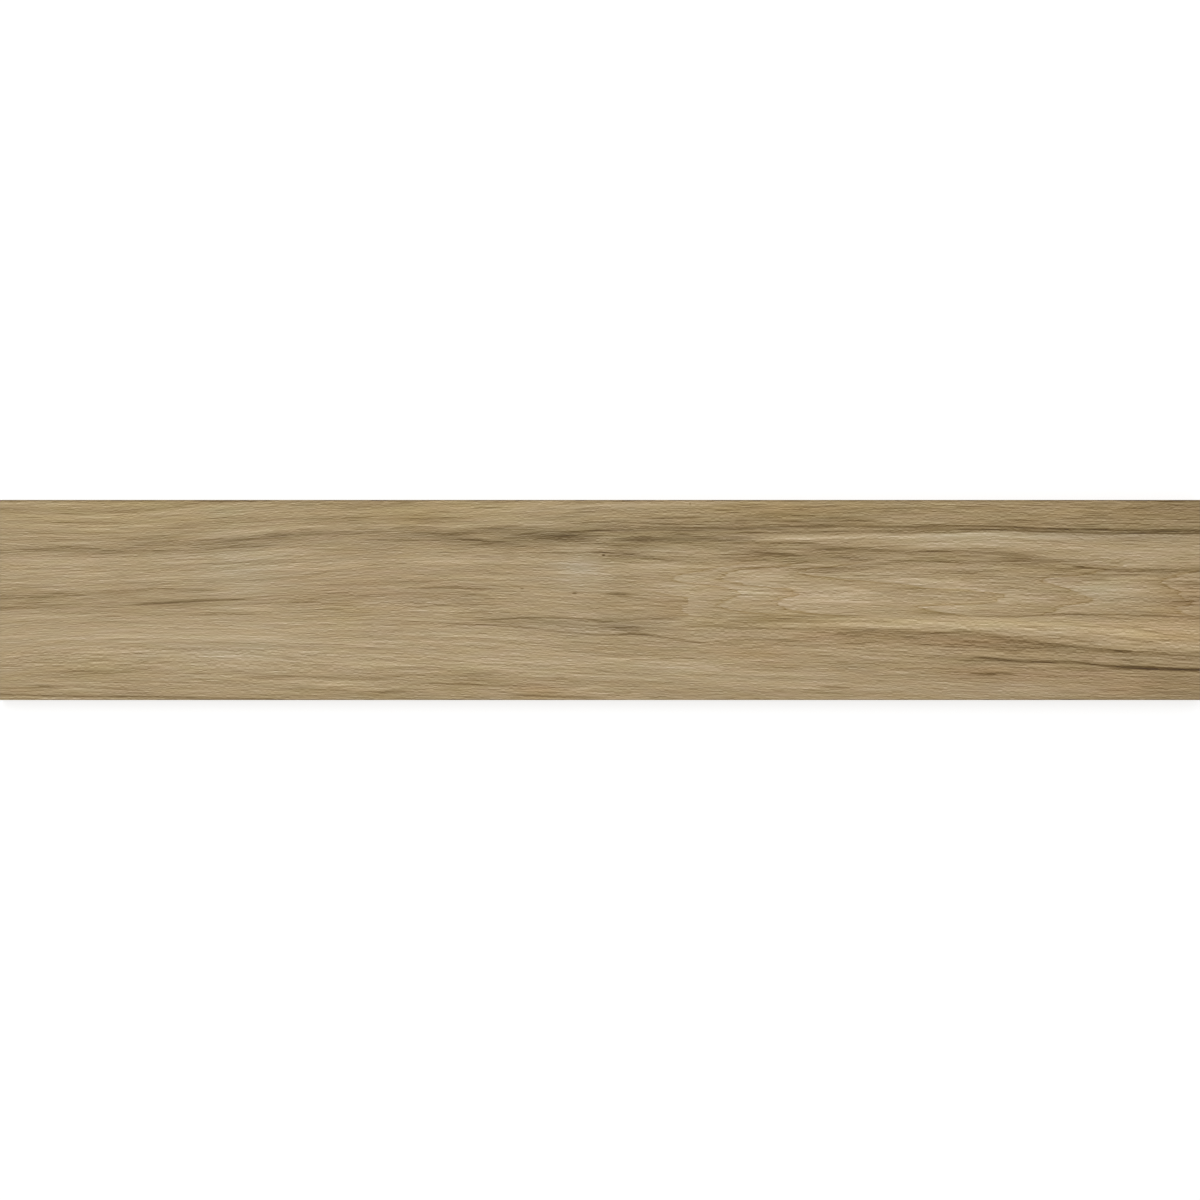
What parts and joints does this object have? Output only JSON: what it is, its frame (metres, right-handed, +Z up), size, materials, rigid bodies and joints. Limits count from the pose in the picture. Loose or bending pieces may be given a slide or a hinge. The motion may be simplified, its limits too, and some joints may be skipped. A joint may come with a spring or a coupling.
{
  "type": "floor plank",
  "caption": "Solid wood floor plank with square edges, a fine bevel round the face and relief grooves along the back.",
  "frame": {"origin": "centre of the back, on the surface that the plank is laid on", "axes": "+X along the grain and the length, +Y across the width, +Z up out of the face"},
  "size_m": [1.2, 0.2, 0.02],
  "materials": {
    "wood": "matt oiled hardwood"
  },
  "bodies": {
    "root": {"floor_plank": "wood"}
  },
  "joints": []
}
